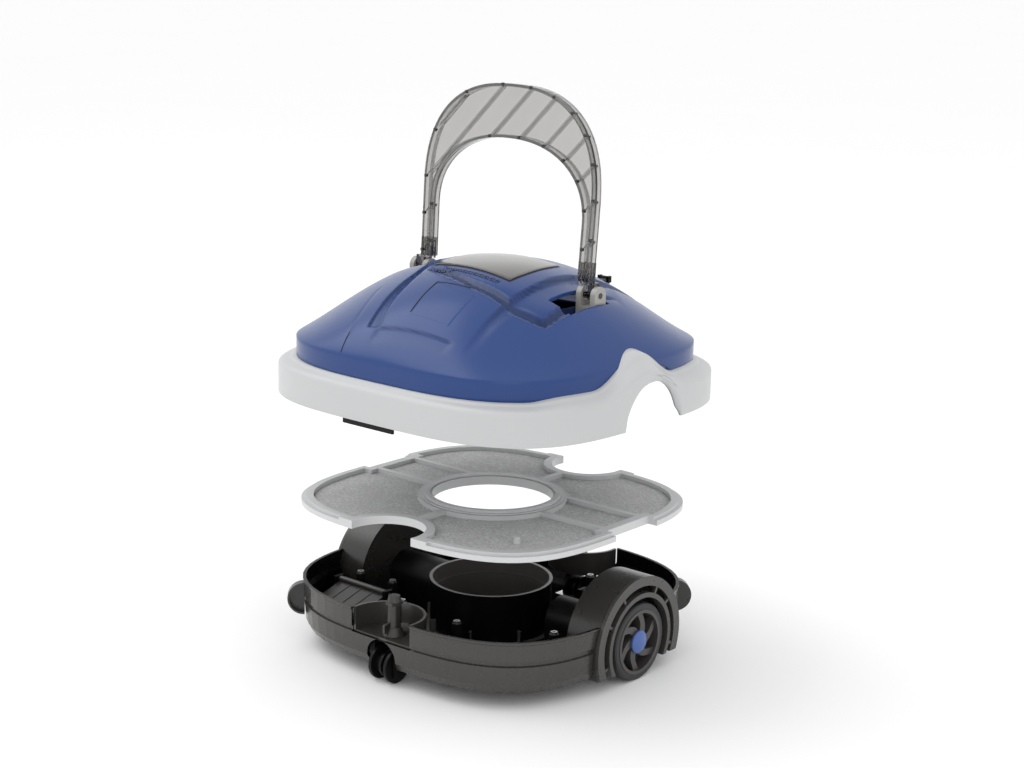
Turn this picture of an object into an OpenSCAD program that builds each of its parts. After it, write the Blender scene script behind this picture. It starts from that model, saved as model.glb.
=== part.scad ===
// Floor-running pool cleaner that opens into three layers: a black base tray with wheels and
// suction flaps, a filter tray, and a domed cover with pump, battery and carrying handle.
// Millimetres, +Z up, X along the wheel axle, -Y is the front. The floor is Z = 0.

/* [Layers] */
// How far the cover stands above its closed place
cover_gap = 213; // [0:1:240]
// How far the filter tray stands above its closed place
tray_gap = 44; // [0:1:50]

/* [Cover] */
// Half width of the skirt along the axle
skirt_x = 200; // [180:1:220]
// Half depth of the skirt from front to rear
skirt_y = 188; // [170:1:205]
// Height of the skirt's lower edge when closed
skirt_low = 56; // [54:1:62]
// Height of the vertical skirt wall
skirt_wall = 34; // [28:1:40]
// Width of the ledge between skirt and dome at the sides
ledge_x = 16; // [10:1:22]
// Width of the ledge between skirt and dome at front and rear
ledge_y = 10; // [8:1:16]
// Height of the dome above its soft crease
dome_rise = 80; // [60:1:90]
// Thickness of the cover shells
shell = 3; // [2:0.5:4]

/* [Handle] */
// Half width of the handle outside
handle_x = 114; // [100:1:120]
// Height of the handle above its pivots
handle_rise = 201; // [160:1:210]
// Depth of the handle flanges from front to rear
handle_deep = 12; // [10:1:18]
// How far the raised handle leans to the rear, in degrees
handle_lean = 3.5; // [0:0.5:8]
// Width of the web at the top of the arch
handle_web = 55; // [35:1:60]

/* [Base] */
// Half width of the base tray along the axle
base_x = 183; // [170:1:190]
// Half depth of the base tray
base_y = 172; // [160:1:178]
// Height of the base tray rim above the floor
rim_z = 72; // [60:1:76]
// Height of the underside above the floor
belly_z = 14; // [10:1:18]
// Outer radius of the central pump well
well_r = 66; // [60:1:70]

/* [Wheels] */
// Radius of the tyre
wheel_r = 41; // [36:1:43]
// Width of the tyre
wheel_w = 23; // [18:1:24]
// Distance of the axle behind the middle
axle_y = 18; // [0:1:20]
// Outer radius of the wheel well
arch_r = 69; // [62:1:70]
// Radius of the small front and rear rollers
roller_r = 18; // [14:1:19]

/* [Filter tray] */
// Half width of the filter tray
tray_x = 177.5; // [165:0.5:180]
// Half depth of the filter tray
tray_y = 170.5; // [160:0.5:172]
// Radius of the hole in the filter tray
tray_hole = 64; // [60:1:66]
// Thickness of the filter frame
tray_thick = 8.5; // [7:0.5:10]

/* [Hidden] */

gap = 0.3;
// Play above the drawn place that the cover keeps when it is closed
cover_seat = 6;
axle_z = wheel_r;
wheel_out = 187;
wheel_in = wheel_out - 1 - wheel_w;
drum_in = 144;
drum_out = 182;
pocket_y = 162;
pocket_r = 38;
pocket_z = 48;
roller_y = 157;
roller_z = roller_r;
post_y = 150;
tray_z = 111;
ledge_z = skirt_low + skirt_wall;
dome_z = ledge_z + 5.3;
crease_z = dome_z + 21;
crown_z = crease_z + dome_rise;
dome_x = skirt_x - ledge_x;
dome_y = skirt_y - ledge_y;
skirt_n = 3.5;
dome_n = 3.2;
base_n = 3.1;
tray_n = 3.5;
bump_r = 82;
arch_open = 47;
deck_z = 125.5;
deck_t = 3;
pod_r = 56;
pod_low = 18;
pivot_y = 12;
pivot_z = 174;
flap_hinge_y = 74;
flap_hinge_z = 51;
flap_tilt = 16;
flap_x = 118;
rear_in = 15;
button_y = 112;
button_z = 168;
port_x = 48;
port_y = 108;
port_z = 166;

blue = [0.05, 0.12, 0.36];
white = [0.80, 0.80, 0.80];
black = [0.03, 0.03, 0.03];
grey = [0.45, 0.45, 0.44];
smoke = [0.45, 0.45, 0.45, 0.5];
steel = [0.70, 0.70, 0.72];

// ---- plan shapes: rounded rectangles with gently bowed sides ----

function reach(a, b, n, t) =
  pow(pow(abs(cos(t)) / a, n) + pow(abs(sin(t)) / b, n), -1 / n);

function plan(a, b, n, count) =
  [for (i = [0 : count - 1]) let (t = 360 * i / count, r = reach(a, b, n, t)) [r * cos(t), r * sin(t)]];

function lift_ring(points, z) = [for (p = points) [p[0], p[1], z]];

function radius_share(x, y, n) = pow(pow(abs(x) / dome_x, n) + pow(abs(y) / dome_y, n), 1 / n);

// Share of the way from the middle of the dome to its edge: rounder contours towards the top
function dome_share(x, y) = let (edge = min(1, radius_share(x, y, dome_n)), w = pow(edge, 4))
  w * edge + (1 - w) * radius_share(x, y, 1.8);

// Height of the dome's outer surface at a share of its radius
function dome_at(s) = crease_z + dome_rise * pow(max(0, 1 - pow(min(s, 1), 2.4)), 0.85);

module slab(a, b, n, z0, z1, count = 96) {
  translate([0, 0, z0]) linear_extrude(height = z1 - z0) polygon(plan(a, b, n, count));
}

// Closed solid through a list of rings [half x, half y, exponent, height], capped at both ends
module loft(rings, count = 80) {
  points = [for (r = rings) each lift_ring(plan(r[0], r[1], r[2], count), r[3])];
  last = len(rings) - 1;
  sides = [for (k = [0 : last - 1], i = [0 : count - 1]) let (j = (i + 1) % count)
    [k * count + i, k * count + j, (k + 1) * count + j, (k + 1) * count + i]];
  low = [[for (i = [count - 1 : -1 : 0]) i]];
  high = [[for (i = [0 : count - 1]) last * count + i]];
  polyhedron(points = points, faces = [for (f = concat(low, sides, high)) [for (i = [len(f) - 1 : -1 : 0]) f[i]]]);
}

// Thin plate that follows the dome over a rectangle, from low to high above the dome surface
module dome_patch(x0, x1, y0, y1, low, high, nx = 16, ny = 10) {
  top = [for (i = [0 : nx], j = [0 : ny]) let (x = x0 + (x1 - x0) * i / nx, y = y0 + (y1 - y0) * j / ny)
    [x, y, dome_at(dome_share(x, y)) + high]];
  bottom = [for (p = top) [p[0], p[1], p[2] - high + low]];
  m = (nx + 1) * (ny + 1);
  w = ny + 1;
  up = [for (i = [0 : nx - 1], j = [0 : ny - 1]) [i * w + j, (i + 1) * w + j, (i + 1) * w + j + 1, i * w + j + 1]];
  down = [for (f = up) [m + f[3], m + f[2], m + f[1], m + f[0]]];
  edge = concat(
    [for (i = [0 : nx - 1]) [i * w, m + i * w, m + (i + 1) * w, (i + 1) * w]],
    [for (i = [0 : nx - 1]) [(i + 1) * w + ny, m + (i + 1) * w + ny, m + i * w + ny, i * w + ny]],
    [for (j = [0 : ny - 1]) [j + 1, m + j + 1, m + j, j]],
    [for (j = [0 : ny - 1]) [nx * w + j, m + nx * w + j, m + nx * w + j + 1, nx * w + j + 1]]);
  faces = concat(up, down, edge);
  polyhedron(points = concat(top, bottom), faces = [for (f = faces) [for (i = [len(f) - 1 : -1 : 0]) f[i]]]);
}

module raised(z) {
  translate([0, 0, z]) children();
}

module on_cover() {
  raised(cover_gap + cover_seat) children();
}

// Copies the children at the place and turned half way round the vertical
module twice() {
  children();
  rotate([0, 0, 180]) children();
}

// Copies the children at the front inlet and, turned round and nearer the middle, at the rear inlet
module front_and_rear() {
  children();
  rotate([0, 0, 180]) translate([rear_in, 0, 0]) children();
}

module left_right() {
  children();
  mirror([1, 0, 0]) children();
}

module rod_x(r, x0, x1, fn = 48) {
  translate([x0, 0, 0]) rotate([0, 90, 0]) cylinder(r = r, h = x1 - x0, $fn = fn);
}

module on_axle() {
  translate([0, axle_y, axle_z]) children();
}

module tube(ro, ri, z0, z1, fn = 96) {
  translate([0, 0, z0]) difference() {
    cylinder(r = ro, h = z1 - z0, $fn = fn);
    translate([0, 0, -1]) cylinder(r = ri, h = z1 - z0 + 2, $fn = fn);
  }
}

// ---- base ----

module base_tray() {
  wall = 3;
  color(black) difference() {
    loft([[base_x - 16, base_y - 16, base_n, belly_z], [base_x - 7, base_y - 7, base_n, belly_z + 4],
      [base_x - 3, base_y - 3, base_n, belly_z + 12], [base_x - 1.5, base_y - 1.5, base_n, 46],
      [base_x - 3.5, base_y - 3.5, base_n, 47], [base_x - 3.5, base_y - 3.5, base_n, 51],
      [base_x - 1, base_y - 1, base_n, 52], [base_x - 1, base_y - 1, base_n, rim_z - 3],
      [base_x, base_y, base_n, rim_z - 2], [base_x, base_y, base_n, rim_z]]);
    loft([[base_x - 18, base_y - 18, base_n, belly_z + 3], [base_x - 10, base_y - 10, base_n, belly_z + 7],
      [base_x - 6.5, base_y - 6.5, base_n, belly_z + 14], [base_x - 6.5, base_y - 6.5, base_n, 52],
      [base_x - wall, base_y - wall, base_n, 56], [base_x - wall, base_y - wall, base_n, rim_z + 1]]);
    translate([0, 0, belly_z - 1]) cylinder(r = 61, h = 6, $fn = 96);
    left_right() on_axle() rod_x(arch_r + gap, drum_in - gap, 260, 96);
    for (s = [-1, 1]) {
      translate([0, s * pocket_y, pocket_z - 2 - gap]) cylinder(r = pocket_r + 3 + gap, h = 60, $fn = 72);
      translate([-18.5, s * roller_y - 26, belly_z - 1]) cube([37, 52, 22]);
      translate([0, s * roller_y - 30, belly_z + 13]) rotate([-90, 0, 0]) cylinder(r = 19.5, h = 60, $fn = 60);
    }
    front_and_rear() translate([-flap_x - 32, -flap_hinge_y - 42, belly_z - 1]) cube([64, 38, 6]);
  }
}

module pump_well() {
  color(black) {
    tube(well_r - 1, 60, belly_z + 3 + gap, 56);
    tube(well_r - 1, 62.5, 55, rim_z - 3);
    tube(well_r, 62.5, rim_z - 3.01, rim_z);
    tube(well_r + 7, 60, belly_z + 3 + gap, belly_z + 6);
    for (t = [0 : 45 : 315])
      rotate([0, 0, t + 22.5]) translate([well_r - 1.5, -1, belly_z + 5]) cube([7, 2, 14]);
  }
}

module well_grille() {
  color(black) translate([0, 0, belly_z]) {
    tube(60.6, 56.5, 0, 3);
    tube(30, 27.5, 0, 3);
    cylinder(r = 9, h = 3, $fn = 48);
    for (t = [0 : 30 : 330]) rotate([0, 0, t]) translate([8, -1.2, 0]) cube([50, 2.4, 3]);
  }
}

module pocket_cup() {
  intersection() {
    translate([0, -pocket_y, pocket_z - 2]) difference() {
      cylinder(r = pocket_r + 3, h = rim_z - pocket_z + 2, $fn = 72);
      translate([0, 0, 2]) cylinder(r = pocket_r, h = 40, $fn = 72);
      translate([0, 12, -1]) cylinder(r = 4.3, h = 10, $fn = 32);
    }
    slab(base_x - 4.2, base_y - 4.2, base_n, pocket_z - 3, rim_z);
  }
}

module pocket_cups() {
  color(black) {
    pocket_cup();
    mirror([0, 1, 0]) pocket_cup();
  }
}

module wheel_well() {
  difference() {
    on_axle() difference() {
      rod_x(arch_r, drum_in, drum_out, 96);
      rod_x(arch_r - 3, drum_in + 3, drum_out + 1, 96);
      rod_x(6.05, drum_in - 1, drum_in + 8, 40);
    }
    translate([100, -100, -60]) cube([120, 240, belly_z + 60 + 0.5]);
  }
  on_axle() difference() {
    rod_x(10, drum_in + 2.5, drum_in + 8, 40);
    rod_x(6.05, drum_in - 1, drum_in + 9, 40);
  }
}

module wheel_well_right() {
  color(black) wheel_well();
}

module wheel_well_left() {
  color(black) mirror([1, 0, 0]) wheel_well();
}

module fender() {
  difference() {
    on_axle() {
      difference() {
        rod_x(arch_r, drum_out + gap, wheel_out - 1, 96);
        rod_x(59, drum_out - 1, wheel_out + 1, 96);
      }
      difference() {
        rod_x(52, drum_out - 4, wheel_out, 96);
        rod_x(47, drum_out - 5, wheel_out + 1, 96);
      }
      for (t = [-16, 35, 62, 118, 150, 196]) rotate([t, 0, 0])
        translate([drum_out + gap, 51, -1.5]) cube([3, 9, 3]);
    }
    translate([100, -100, -60]) cube([120, 240, belly_z + 60 + 2]);
  }
}

module fender_right() {
  color(black) fender();
}

module fender_left() {
  color(black) mirror([1, 0, 0]) fender();
}

module corner_bumper() {
  out = reach(base_x, base_y, base_n, 225);
  rotate([0, 0, 225]) translate([out - 1, 0, 50]) intersection() {
    difference() {
      rotate([90, 0, 0]) cylinder(r = 17.5, h = 10, center = true, $fn = 72);
      translate([0, 4, 0]) rotate([90, 0, 0]) cylinder(r = 15.5, h = 10, center = true, $fn = 72);
    }
    translate([-0.7, -20, -20]) cube([30, 40, 40]);
  }
}

module corner_bumpers() {
  color(black) twice() corner_bumper();
}

module latch_post() {
  translate([0, -post_y, 0]) {
    translate([0, 0, pocket_z - 8]) cylinder(r = 4, h = 20, $fn = 32);
    translate([0, 0, pocket_z + gap]) cylinder(r1 = 13, r2 = 8, h = 8, $fn = 48);
    translate([0, 0, pocket_z + 8]) cylinder(r = 7.5, h = 25, $fn = 48);
    translate([0, 0, 80]) cylinder(r = 9, h = 3, $fn = 6);
    translate([0, 0, 83]) cylinder(r1 = 7.5, r2 = 6, h = 6, $fn = 48);
    for (t = [30, 150, 270]) rotate([0, 0, t]) translate([6.5, -1.5, pocket_z + 4]) cube([9, 3, 9]);
  }
}

module latch_posts() {
  color(black) twice() latch_post();
}

module roller_bracket() {
  for (s = [-1, 1]) difference() {
    translate([s * 14.5 - 1.5, -roller_y - 8, 7]) cube([3, 16, pocket_z - 2 - gap - 7]);
    translate([0, -roller_y, roller_z]) rod_x(3.02, -40, 40, 32);
  }
  translate([-16, -roller_y - 8, pocket_z - 5 - gap]) difference() {
    cube([32, 16, 3]);
    translate([16, 15, -1]) cylinder(r = 4.4, h = 8, $fn = 32);
  }
}

module roller_brackets() {
  color(black) twice() roller_bracket();
}

module roller_pins() {
  color(steel) twice() translate([0, -roller_y, roller_z]) rod_x(3, -17.5, 17.5, 32);
}

module roller() {
  translate([0, -roller_y, roller_z]) difference() {
    union() {
      rod_x(11, -11, 11);
      rod_x(roller_r, -12, -8.5, 72);
      rod_x(roller_r, 8.5, 12, 72);
      rod_x(14, -1.5, 1.5, 60);
    }
    rod_x(3.05, -30, 30, 32);
    for (s = [-1, 1]) translate([s * 12 - 1, 0, 0]) rod_x(8, 0, 2, 40);
  }
}

module roller_front() {
  color(black) roller();
}

module roller_rear() {
  color(black) rotate([0, 0, 180]) roller();
}

// Room inside the tray's walls
module tray_room() {
  loft([[base_x - 18.5, base_y - 18.5, base_n, belly_z + 3], [base_x - 10.5, base_y - 10.5, base_n, belly_z + 7],
    [base_x - 7, base_y - 7, base_n, belly_z + 14], [base_x - 7, base_y - 7, base_n, rim_z]]);
}

// Frame of one suction inlet, its top cut to the slope of the flap
module inlet_duct() {
  translate([-flap_x, -flap_hinge_y, 0]) {
    difference() {
      intersection() {
        translate([-38, -46, belly_z + 3 + gap]) cube([76, 44, 40]);
        translate([flap_x, flap_hinge_y, 0]) tray_room();
      }
      translate([-34, -42, belly_z]) cube([68, 36, 60]);
      translate([0, 0, flap_hinge_z - 4.3]) rotate([flap_tilt, 0, 0]) translate([-60, -80, 0]) cube([120, 120, 60]);
    }
    for (s = [-1, 1]) difference() {
      translate([s * 37 - 2, -7, 34]) cube([4, 12, flap_hinge_z - 30]);
      translate([0, 0, flap_hinge_z]) rod_x(2.02, -50, 50, 24);
    }
    translate([-38, -2.5, belly_z + 3 + gap]) cube([76, 3, 26]);
  }
}

module inlet_ducts() {
  color(black) front_and_rear() inlet_duct();
}

module flap_pins() {
  color(steel) front_and_rear() translate([-flap_x, -flap_hinge_y, flap_hinge_z]) rod_x(2, -40, 40, 24);
}

module flap() {
  translate([-flap_x, -flap_hinge_y, flap_hinge_z]) difference() {
    union() {
      rod_x(3.6, -34.5, 34.5, 32);
      rotate([flap_tilt, 0, 0]) {
        translate([-34, -44, -3.2]) cube([68, 43, 2.2]);
        for (x = [-17, 0, 17]) translate([x - 0.8, -40, -1.2]) cube([1.6, 37, 0.8]);
      }
    }
    rod_x(2.05, -50, 50, 24);
  }
}

module flap_front() {
  color(grey) flap();
}

module flap_rear() {
  color(grey) rotate([0, 0, 180]) translate([rear_in, 0, 0]) flap();
}

boss_places = [[-136, -60], [-90, -58], [-40, -96], [44, -104], [136, -60], [54, 104], [-52, 110], [-128, 104], [96, 62]];

module screw_bosses() {
  color(black) for (p = boss_places) translate([p[0], p[1], belly_z + 3 + gap]) difference() {
    union() {
      cylinder(r = 5, h = 41, $fn = 40);
      for (t = [0, 90, 180, 270]) rotate([0, 0, t + 20]) translate([0, -1, 0]) cube([9, 2, 26]);
    }
    translate([0, 0, 29]) cylinder(r = 1.8, h = 20, $fn = 24);
  }
}

module screw(head_r, shank_r, length) {
  difference() {
    union() {
      cylinder(r = head_r, h = 2.4, $fn = 32);
      translate([0, 0, -length]) cylinder(r = shank_r, h = length + 0.1, $fn = 24);
    }
    for (t = [0, 90]) rotate([0, 0, t]) translate([-head_r * 0.6, -0.5, 1.2]) cube([head_r * 1.2, 1, 2]);
  }
}

module base_screws() {
  color(steel) for (p = boss_places)
    translate([p[0], p[1], belly_z + 3 + gap + 41 + 0.1]) screw(3.6, 1.75, 11);
}

module motor() {
  on_axle() difference() {
    union() {
      rod_x(17, 88, 122, 64);
      rod_x(15, 122, 138, 64);
      rod_x(6, 84, 88.5, 32);
      rod_x(8, 137, drum_in - 4.5, 32);
      translate([123, -19, -4]) cube([6, 38, 8]);
    }
    rod_x(4.05, 124, 145, 32);
  }
}

module motor_right() {
  color(steel) motor();
}

module motor_left() {
  color(steel) mirror([1, 0, 0]) motor();
}

module motor_cover() {
  difference() {
    union() {
      on_axle() rod_x(24, 80, drum_in - gap, 72);
      translate([80, axle_y - 24, belly_z + 3 + gap]) cube([drum_in - gap - 80, 48, axle_z - belly_z - 3 - gap]);
    }
    on_axle() rod_x(21, 83, drum_in + 1, 72);
    translate([83, axle_y - 21, belly_z]) cube([drum_in - 80, 42, axle_z - belly_z]);
    translate([70, axle_y - 60, -20]) cube([90, 120, belly_z + 23 + gap]);
  }
}

module motor_covers() {
  color(black) left_right() motor_cover();
}

module axle_bushes() {
  color([0.75, 0.62, 0.35]) left_right() on_axle() difference() {
    rod_x(6, drum_in - 2, drum_in + 9, 40);
    rod_x(4.05, drum_in - 3, drum_in + 10, 40);
  }
}

// ---- wheels ----

module axle() {
  on_axle() {
    rod_x(4, 126, 178, 40);
    rod_x(7.5, wheel_in - 6, wheel_in + 3, 40);
  }
}

module axle_right() {
  color(steel) axle();
}

module axle_left() {
  color(steel) mirror([1, 0, 0]) axle();
}

module tyre() {
  half = wheel_w / 2;
  inner = wheel_r - 7;
  on_axle() translate([wheel_in + half, 0, 0]) rotate([0, 90, 0]) rotate_extrude($fn = 120)
    polygon([[inner, -half], [wheel_r - 2.5, -half], [wheel_r - 0.8, -half + 1], [wheel_r, -half + 3],
      [wheel_r, -4], [wheel_r - 1.6, -3.6], [wheel_r - 1.6, -2.4], [wheel_r, -2],
      [wheel_r, 2], [wheel_r - 1.6, 2.4], [wheel_r - 1.6, 3.6], [wheel_r, 4],
      [wheel_r, half - 3], [wheel_r - 0.8, half - 1], [wheel_r - 2.5, half], [inner, half]]);
}

module tyre_right() {
  color(black) tyre();
}

module tyre_left() {
  color(black) mirror([1, 0, 0]) tyre();
}

spoke_count = 6;
rim_r = wheel_r - 7;

// Centre line of one curved spoke, from hub to rim
function spoke_mid(u) = let (r = 8.4 + (rim_r - 9.6) * u, t = 17 * sin(180 * u - 90)) [r * cos(t), r * sin(t)];
function spoke_side(s) = [for (i = [0 : 10]) let (u = i / 10, p = spoke_mid(u), r = norm(p),
  t = atan2(p[1], p[0]) + s * (5 - 1.2 * u) * 57.3 / r) [r * cos(t), r * sin(t)]];

module rim() {
  side = spoke_side(1);
  other = spoke_side(-1);
  outline = concat(side, [for (i = [10 : -1 : 0]) other[i]]);
  on_axle() difference() {
    union() {
      translate([wheel_in + 0.5, 0, 0]) rotate([0, 90, 0]) difference() {
        cylinder(r = rim_r - 0.05, h = wheel_w, $fn = 96);
        translate([0, 0, -1]) cylinder(r = rim_r - 3.5, h = wheel_w + 2, $fn = 96);
      }
      rod_x(11, wheel_in + 4, wheel_out - 3, 48);
      translate([wheel_in + 7, 0, 0]) rotate([0, 90, 0]) difference() {
        cylinder(r = rim_r - 3, h = 2, $fn = 96);
        translate([0, 0, -1]) cylinder(r = 10, h = 4, $fn = 48);
      }
      for (k = [0 : spoke_count - 1]) rotate([k * 360 / spoke_count + 10, 0, 0])
        translate([wheel_out - 13, 0, 0]) rotate([90, 0, 90]) linear_extrude(height = 9.5) polygon(outline);
    }
    rod_x(4.02, wheel_in - 1, 179, 40);
  }
}

module rim_right() {
  color(grey) rim();
}

module rim_left() {
  color(grey) mirror([1, 0, 0]) rim();
}

module hub_cap() {
  on_axle() intersection() {
    translate([wheel_out - 14.5, 0, 0]) sphere(r = 18, $fn = 72);
    rod_x(12, wheel_out - 3 + gap, wheel_out + 6, 64);
  }
}

module hub_cap_right() {
  color(blue) hub_cap();
}

module hub_cap_left() {
  color(blue) mirror([1, 0, 0]) hub_cap();
}

// ---- filter tray ----

rib_half = 29;
inset = 12;
inset_half = 35;

// Straight notches in both sides of the tray that clear the wheel wells
module side_notches(deep, half) {
  for (s = [-1, 1]) translate([s * (tray_x - deep + 20), axle_y]) square([40, 2 * half], center = true);
}

module tray_outline() {
  difference() {
    polygon(plan(tray_x, tray_y, tray_n, 128));
    for (s = [-1, 1]) translate([0, s * (pocket_y + 2)]) circle(r = 41, $fn = 72);
    side_notches(inset, inset_half);
    circle(r = tray_hole, $fn = 96);
  }
}

// The six open cells of the frame, drawn in on every side by the clearance
module tray_cells(clear) {
  edge = 11 + clear;
  difference() {
    polygon(plan(tray_x - edge, tray_y - edge, tray_n, 96));
    for (s = [-1, 1]) {
      translate([0, s * (pocket_y + 2)]) circle(r = 50 + clear, $fn = 72);
      translate([0, s * 115]) square([7 + 2 * clear, 100], center = true);
      translate([0, axle_y + s * rib_half]) square([2 * tray_x, 6 + 2 * clear], center = true);
    }
    side_notches(inset + 10 + clear, inset_half + 7 + clear);
    circle(r = 79 + clear, $fn = 96);
  }
}

module filter_frame() {
  color(white) raised(tray_gap) translate([0, 0, tray_z]) {
    difference() {
      linear_extrude(height = tray_thick) tray_outline();
      translate([0, 0, -1]) linear_extrude(height = tray_thick + 2) tray_cells(0);
      translate([0, 0, tray_thick - 3]) linear_extrude(height = 4) difference() {
        polygon(plan(tray_x + 2, tray_y + 2, tray_n, 96));
        polygon(plan(tray_x - 4, tray_y - 4, tray_n, 96));
        translate([-60, -300]) square([120, 600]);
      }
    }
    tube(75, tray_hole, 0, tray_thick + 1);
    tube(72, tray_hole + 3, tray_thick, tray_thick + 4);
    tube(79, tray_hole, 0, tray_thick - 2);
  }
}

module filter_mesh() {
  color([0.5, 0.52, 0.5]) raised(tray_gap) translate([0, 0, tray_z + 2]) linear_extrude(height = 2)
    tray_cells(0.4);
}

module filter_peg() {
  color(white) raised(tray_gap) translate([118, -100, tray_z + 4 + gap]) {
    cylinder(r = 4, h = 4, $fn = 32);
    translate([0, 0, 4]) cylinder(r = 3, h = 3, $fn = 32);
  }
}

// ---- cover ----

module bump_volume(r, x0, x1) {
  left_right() on_axle() rod_x(r, x0, x1, 96);
}

module skirt() {
  color(white) on_cover() difference() {
    union() {
      difference() {
        union() {
          loft([[skirt_x - 0.6, skirt_y - 0.6, skirt_n, skirt_low], [skirt_x, skirt_y, skirt_n, skirt_low + 1],
            [skirt_x, skirt_y, skirt_n, ledge_z - 3], [skirt_x - 2, skirt_y - 2, skirt_n, ledge_z],
            [dome_x - 1, dome_y - 1, dome_n, ledge_z + 5]], 96);
        }
        loft([[skirt_x - shell, skirt_y - shell, skirt_n, skirt_low - 1], [skirt_x - shell, skirt_y - shell, skirt_n, ledge_z - 3],
          [skirt_x - shell - 2, skirt_y - shell - 2, skirt_n, ledge_z - 1.5], [tray_x + 1, tray_y + 1, tray_n, ledge_z + 2.5],
          [tray_x + 1, tray_y + 1, tray_n, ledge_z + 6]], 96);
        bump_volume(bump_r - shell, 150, 197);
      }
      intersection() {
        difference() {
          bump_volume(bump_r, 179, 210);
          bump_volume(bump_r - shell, 150, skirt_x - shell);
          translate([-300, -300, 0]) cube([600, 600, ledge_z]);
        }
        slab(skirt_x, skirt_y, skirt_n, skirt_low, 140, 96);
      }
    }
    bump_volume(arch_open, 150, 260);
    translate([0, 0, -4]) left_right() translate([150, axle_y - arch_open, 0]) cube([80, 2 * arch_open, axle_z + 4]);
  }
}

module skirt_liner() {
  in_x = skirt_x - shell - 1;
  in_y = skirt_y - shell - 1;
  color(black) on_cover() difference() {
    union() {
      difference() {
        slab(in_x, in_y, skirt_n, skirt_low + 2, ledge_z - 6);
        slab(in_x - 2.5, in_y - 2.5, skirt_n, skirt_low, ledge_z);
      }
      twice() intersection() {
        difference() {
          slab(in_x, in_y, skirt_n, skirt_low - 6, skirt_low + 4);
          slab(in_x - 2.5, in_y - 2.5, skirt_n, skirt_low - 7, skirt_low + 5);
        }
        translate([-40, -220, 0]) cube([68, 120, 100]);
      }
    }
    left_right() on_axle() rod_x(bump_r - 4, 150, 260, 96);
  }
}

// Rings of points over the dome, drawn in from its edge by t on every side
function dome_ring(f, t, count) = [for (i = [0 : count - 1])
  let (a = 360 * i / count, r = reach(dome_x, dome_y, dome_n, a), x = f * r * cos(a), y = f * r * sin(a),
    k = (f * r - t * f) / max(f * r, 0.01))
  [x * k, y * k, dome_at(dome_share(x, y)) - t * 0.9]];

module dome_solid(t, low) {
  count = 80;
  rings = concat(
    [lift_ring(plan(dome_x - t, dome_y - t, dome_n, count), low)],
    [for (f = [1, 0.985, 0.96, 0.92, 0.86, 0.78, 0.68, 0.56, 0.44, 0.32, 0.2, 0.1, 0.02]) dome_ring(f, t, count)]);
  last = len(rings) - 1;
  sides = [for (k = [0 : last - 1], i = [0 : count - 1]) let (j = (i + 1) % count)
    each [[k * count + i, (k + 1) * count + j, k * count + j], [k * count + i, (k + 1) * count + i, (k + 1) * count + j]]];
  polyhedron(points = [for (r = rings) each r], faces = concat([[for (i = [0 : count - 1]) i]], sides,
    [[for (i = [count - 1 : -1 : 0]) last * count + i]]));
}

module dome_shell() {
  difference() {
    dome_solid(0, dome_z);
    dome_solid(shell, dome_z - 1);
  }
}

module dome() {
  color(blue) on_cover() difference() {
    dome_shell();
    bump_volume(bump_r + gap, 150, 260);
    left_right() translate([99, pivot_y - 50, 140]) cube([30, 62, 60]);
    translate([0, button_y, 140]) cylinder(r = 13 + gap, h = 60, $fn = 48);
    translate([port_x, port_y, 140]) cylinder(r = 13 + gap, h = 60, $fn = 48);
  }
}

module crown_panel() {
  color(grey) on_cover() dome_patch(-46, 57, -50, 40, gap, 1.6, 20, 14);
}

module grip_strip() {
  color(blue) on_cover() for (i = [0 : 10])
    dome_patch(-36 + i * 8.5, -30.5 + i * 8.5, -60, -53, gap, 1.2, 2, 2);
}

module front_hatch() {
  color(blue) on_cover() dome_patch(-2, 54, -138, -89, gap, 1.0, 14, 10);
}

module pocket_tubs() {
  color([0.03, 0.07, 0.25]) on_cover() left_right() difference() {
    translate([99 + gap, pivot_y - 50 + gap, 151]) cube([30 - 2 * gap, 62 - 2 * gap, 10]);
    translate([101, pivot_y - 48, 153]) cube([26, 58, 20]);
  }
}

module handle_sockets() {
  color(grey) on_cover() left_right() translate([handle_x, pivot_y, 0]) difference() {
    union() {
      translate([-12, -9, 153 + gap]) cube([24, 18, pivot_z - 153 + 2]);
      translate([0, 0, pivot_z]) rod_x(9, -12, 12, 48);
    }
    translate([-6, -16, pivot_z - 11]) cube([12, 32, 40]);
    translate([0, 0, pivot_z]) rod_x(3, -20, 20, 32);
  }
}

module pivot_pins() {
  color(black) on_cover() left_right() translate([handle_x, pivot_y, pivot_z]) rod_x(2.98, -12.4, 12.4, 32);
}

// Half outline of an arch: straight legs that turn into a bowed top, heights above the pivots
function arch_line(half, foot, spring, top, arch_n) = concat(
  [[half - 1, foot]],
  [for (i = [0 : 24]) let (t = 90 * i / 24)
    [half * pow(cos(t), 2 / arch_n), spring + (top - spring) * pow(sin(t), 2 / arch_n)]]);

function both_sides(line) = concat(line, [for (i = [len(line) - 2 : -1 : 0]) [-line[i][0], line[i][1]]]);

flange_t = 3;
rib_turn = 44;
rib_pitch = 38;
rib_first = -244;
inner_x = handle_x - 13;
inner_top = handle_rise - handle_web;
arch_outer = both_sides(arch_line(handle_x, 12, handle_rise - 112, handle_rise, 2.45));
arch_outer_in = both_sides(arch_line(handle_x - flange_t, 11, handle_rise - 113, handle_rise - flange_t, 2.45));
arch_inner_out = both_sides(arch_line(inner_x + flange_t, 12, inner_top - 74, inner_top + flange_t, 2.2));
arch_inner = both_sides(arch_line(inner_x, 11, inner_top - 76, inner_top, 2.2));

module in_plane(depth) {
  translate([0, depth / 2, 0]) rotate([90, 0, 0]) linear_extrude(height = depth) children();
}

// Stands the children on the pivots with the handle's lean
module leaning() {
  on_cover() translate([0, pivot_y, pivot_z]) rotate([-handle_lean, 0, 0]) children();
}

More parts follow.
